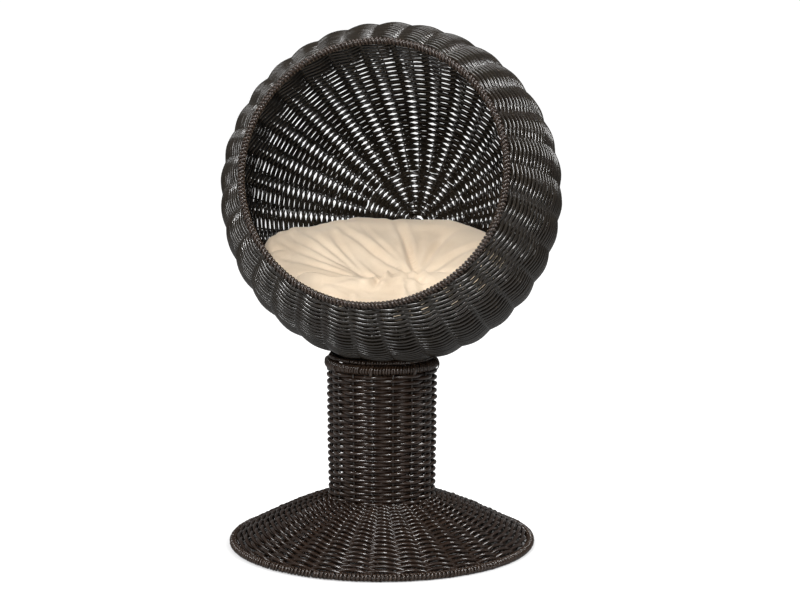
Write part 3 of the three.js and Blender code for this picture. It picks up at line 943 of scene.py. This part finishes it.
def settled(points):
    """Lies the filled cover in the pod: full at its left and right edges, flat at the back."""
    local = in_seat(points)
    across, back, height = local.T
    above = smooth((height + SEAM_HEIGHT) / SIDE_ROUNDING)
    full = FULL_LEFT * smooth((-across - FULL_LEFT_FROM) / FULL_SPAN)
    full += FULL_RIGHT * smooth((across - FULL_RIGHT_FROM) / FULL_SPAN)
    flat = np.exp(-((across - BACK_MIDDLE) / BACK_HALF_WIDTH) ** 2)
    flat *= smooth((back - BACK_FROM) / BACK_SPAN)
    local[:, 2] += (full - BACK_DEPTH * flat) * above
    return out_of_seat(local)


def set_points(mesh, points):
    mesh.vertices.foreach_set("co", points.astype(np.float32).ravel())
    mesh.update()


def hold_in_pod(points):
    """Draws in any point that would stand in the pod's weave."""
    away = points - pod.origin
    size = np.linalg.norm(away, axis=1, keepdims=True)
    return pod.origin + away * np.minimum(1, CUSHION_REACH / size)


def make_cushion():
    """The CAD solid, remeshed, filled against its tufts, laid in the pod, folded and seamed."""
    piece = bpy.data.objects.new("cushion_pad", frame["nodes"]["cushion"].data.copy())
    bpy.context.scene.collection.objects.link(piece)
    remesh = piece.modifiers.new("voxels", "REMESH")
    remesh.mode = "VOXEL"
    remesh.voxel_size = CUSHION_VOXEL
    mesh = baked(piece)

    local = in_seat(points_to_array(mesh))
    middle = local.mean(0)
    local = middle + (local - middle) * (1.0, 1.0, UNFILLED_HEIGHT)
    top = local[:, 2] > -CUSHION_SIDE_DEPTH
    local[top, 2] -= tuft_press(local[top])
    set_points(mesh, out_of_seat(local))
    filled = fill_cushion(piece)      # this gives the piece a new mesh
    set_points(piece.data, hold_in_pod(settled(filled)))

    piece.modifiers.new("round", "SUBSURF").levels = 1
    mesh = baked(piece)
    points = points_to_array(mesh)
    normals = np.empty(3 * len(mesh.vertices), np.float32)
    mesh.vertices.foreach_get("normal", normals)
    local = in_seat(points)
    up = np.clip(normals.reshape(-1, 3) @ seat.axis, 0, 1)
    local[:, 2] += (front_roll(local[:, :2]) - fold_depth(local[:, :2])) * up ** 0.5
    radius = np.linalg.norm(local[:, :2], axis=1, keepdims=True)
    at_seam = np.exp(-((local[:, 2:] + SEAM_HEIGHT) / SEAM_HALF_WIDTH) ** 2)
    edge = radius > SEAM_FROM * cushion_radii.max()
    local[:, :2] *= np.where(edge, 1 - SEAM_DEPTH * at_seam / np.maximum(radius, MM), 1)
    set_points(mesh, hold_in_pod(out_of_seat(local)))
    mesh.materials.clear()
    mesh.polygons.foreach_set("use_smooth", np.ones(len(mesh.polygons), bool))
    finish_piece(piece, PLUSH, "cushion_fabric", "cushion", "cushion")


# ---- carried-over metalwork ----

def paint_nodes():
    for name, cad in frame["nodes"].items():
        if name == "stand_top_plate":
            material = PAINTED_WIRE
        elif name.startswith(("pod_clamp", "pod_bolt", "pod_washer", "pod_nut")):
            material = ZINC
        else:
            continue
        cad.data.materials.clear()
        cad.data.materials.append(material)


# ---- floor, lights and camera ----

def make_floor():
    half = FLOOR_HALF
    corners = [(-half, -half, 0), (half, -half, 0), (half, half, 0), (-half, half, 0)]
    mesh = bpy.data.meshes.new("floor")
    mesh.from_pydata(corners, [], [(0, 1, 2, 3)])
    floor = bpy.data.objects.new("floor", mesh)
    bpy.context.scene.collection.objects.link(floor)
    material, tree, shader = new_material("floor")
    shader.inputs["Base Color"].default_value = (0.4, 0.4, 0.4, 1)
    shader.inputs["Roughness"].default_value = 0.9
    shader.inputs["Specular IOR Level"].default_value = 0.0
    shader.inputs["Emission Color"].default_value = (1, 1, 1, 1)
    # The floor glows for the camera away from the foot, and keeps its own shade under it. The glow
    # fades out towards the foot's rim, which paints a soft shade round the foot on top of the real
    # shadow.
    place = node(tree, "ShaderNodeTexCoord").outputs["Object"]
    across = node(tree, "ShaderNodeVectorMath", {"operation": "SUBTRACT"})
    tree.links.new(place, across.inputs[0])
    across.inputs[1].default_value = tuple(stand.origin)
    away = node(tree, "ShaderNodeVectorMath", {"operation": "LENGTH"})
    tree.links.new(across.outputs["Vector"], away.inputs[0])
    # Painted shade: the glow eases from none inside the foot's rim to full outside it, darkening
    # the floor round the foot.
    glow = node(
        tree, "ShaderNodeMapRange", {"interpolation_type": "SMOOTHSTEP"},
        Value=away.outputs["Value"],
        From_Min=FOOT_EDGE - FLOOR_SHADE_FADE, From_Max=FOOT_EDGE + FLOOR_SHADE_FADE,
    )
    glow.inputs["To Max"].default_value = FLOOR_GLOW
    seen = node(tree, "ShaderNodeLightPath").outputs["Is Camera Ray"]
    strength = node(tree, "ShaderNodeMath", {"operation": "MULTIPLY"})
    tree.links.new(glow.outputs["Result"], strength.inputs[0])
    tree.links.new(seen, strength.inputs[1])
    tree.links.new(strength.outputs["Value"], shader.inputs["Emission Strength"])
    mesh.materials.append(material)


def area_light(name, place, target, size, power):
    light = bpy.data.lights.new(name, "AREA")
    light.shape = "RECTANGLE"
    light.size, light.size_y = size
    light.energy = power
    lamp = bpy.data.objects.new(name, light)
    lamp.location = place
    lamp.rotation_euler = (Vector(target) - Vector(place)).to_track_quat("-Z", "Y").to_euler()
    bpy.context.scene.collection.objects.link(lamp)


def soft_box(name, bearing, rise, size, power):
    """A lamp aimed at the bed. bearing is degrees round from the front (-Y) towards +X, and rise
    is degrees up."""
    turn, lift = math.radians(bearing), math.radians(rise)
    place = (
        LAMP_DISTANCE * math.sin(turn) * math.cos(lift),
        -LAMP_DISTANCE * math.cos(turn) * math.cos(lift),
        LAMP_AIM + LAMP_DISTANCE * math.sin(lift),
    )
    area_light(name, place, (0, 0, LAMP_AIM), size, power)


def make_lights():
    world = bpy.data.worlds.new("studio")
    bpy.context.scene.world = world
    world.use_nodes = True
    tree = world.node_tree
    background = tree.nodes["Background"]
    seen = node(tree, "ShaderNodeLightPath").outputs["Is Camera Ray"]
    strength = node(tree, "ShaderNodeMapRange", Value=seen)
    strength.inputs["To Min"].default_value = ROOM_LIGHT
    strength.inputs["To Max"].default_value = BACKDROP
    tree.links.new(strength.outputs["Result"], background.inputs["Strength"])
    background.inputs["Color"].default_value = (1, 1, 1, 1)
    soft_box("front", 2, 30, (0.5, 0.4), 66)
    soft_box("low", -10, 7, (0.8, 0.3), 22)
    soft_box("right", 84, 44, (0.6, 1.0), 68)
    soft_box("left", -72, 40, (0.6, 1.0), 38)
    area_light("top", (0.1, 0.2, 3.2), (0, 0, LAMP_AIM), (1.2, 1.2), 38)
    bpy.context.scene.view_settings.view_transform = "Standard"


def make_camera():
    """The photo's own viewpoint, fitted to the outlines of the pod, the column and the foot."""
    camera = bpy.data.cameras.new("camera")
    camera.lens = 88.81
    camera.sensor_width = 36
    holder = bpy.data.objects.new("camera", camera)
    holder.location = (0.4957, -2.8653, 0.7663)
    holder.rotation_euler = (math.radians(90 - 7.838), 0, math.radians(9.60))
    bpy.context.scene.collection.objects.link(holder)
    bpy.context.scene.camera = holder


make_camera()
make_lights()
make_floor()
weave_pod()
make_ribs()
weave_column()
weave_foot()
make_stakes()
make_whippings()
make_hoops()
make_cushion()
paint_nodes()
